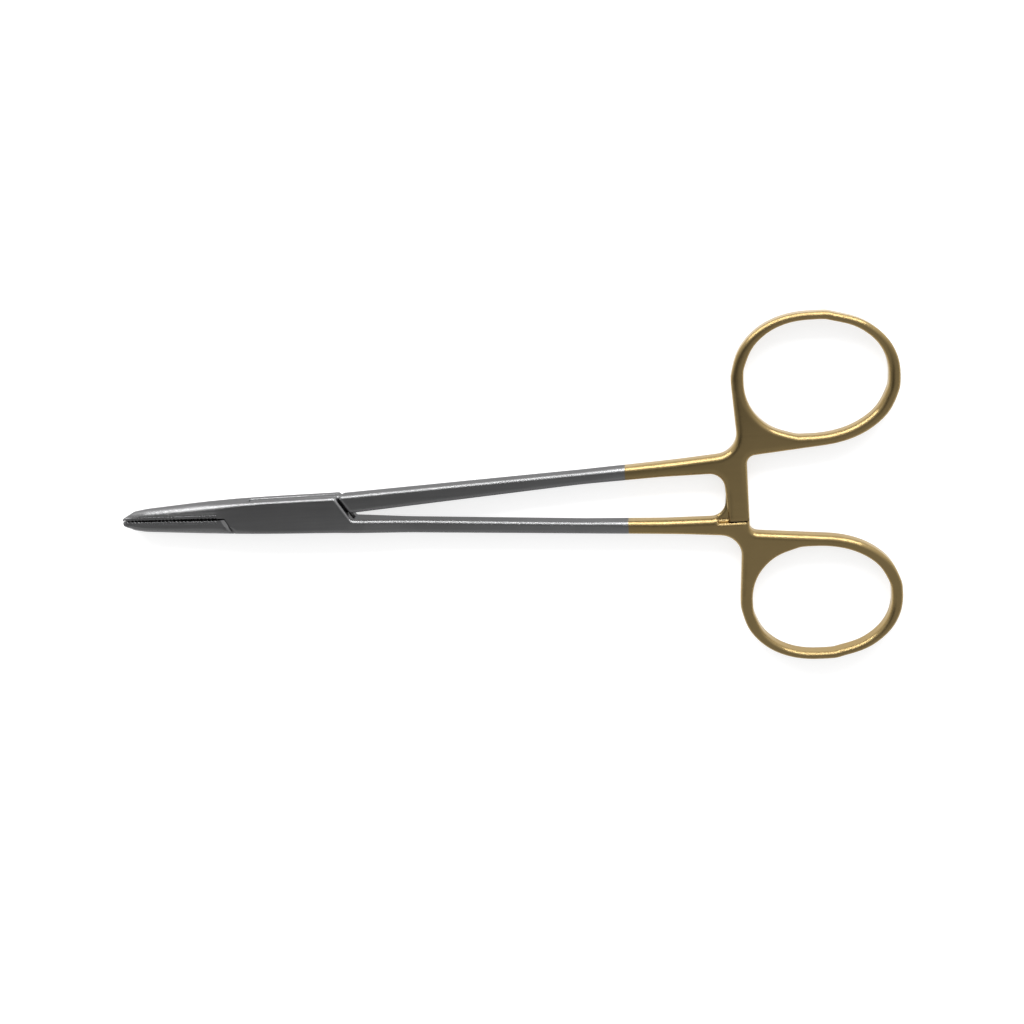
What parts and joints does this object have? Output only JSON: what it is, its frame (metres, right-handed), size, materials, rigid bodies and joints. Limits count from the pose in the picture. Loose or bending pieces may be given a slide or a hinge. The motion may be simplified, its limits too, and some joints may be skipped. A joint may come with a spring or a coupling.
{
  "type": "surgical needle holder",
  "caption": "Box-lock needle holder with straight blunt jaws, brazed serrated inserts, ratchet arms and gold-finished finger rings.",
  "frame": {"origin": "on the pivot axis, at the flat back face of the box, on which the instrument rests", "axes": "+X along the closed instrument from the pivot toward the finger rings, +Y toward the half whose ratchet arm lies in front, +Z along the pivot axis, out of the front face of the box"},
  "size_m": [0.1499, 0.0661, 0.005],
  "materials": {
    "steel": "satin stainless steel, with the handles gold plated from the last third of the shanks on",
    "pin_steel": "satin, ground flush",
    "hard_metal": "dull ground tungsten carbide"
  },
  "bodies": {
    "box_body": {"box_half": "steel", "pivot_pin": "pin_steel", "box_jaw_insert": "hard_metal"},
    "tongue_body": {"tongue_half": "steel", "tongue_jaw_insert": "hard_metal"}
  },
  "joints": [
    {"name": "jaw_pivot", "type": "hinge", "parent": "box_body", "child": "tongue_body", "pos_m": [0, 0, 0.0025], "axis": [0, 0, 1], "range_deg": [0, 45]}
  ]
}
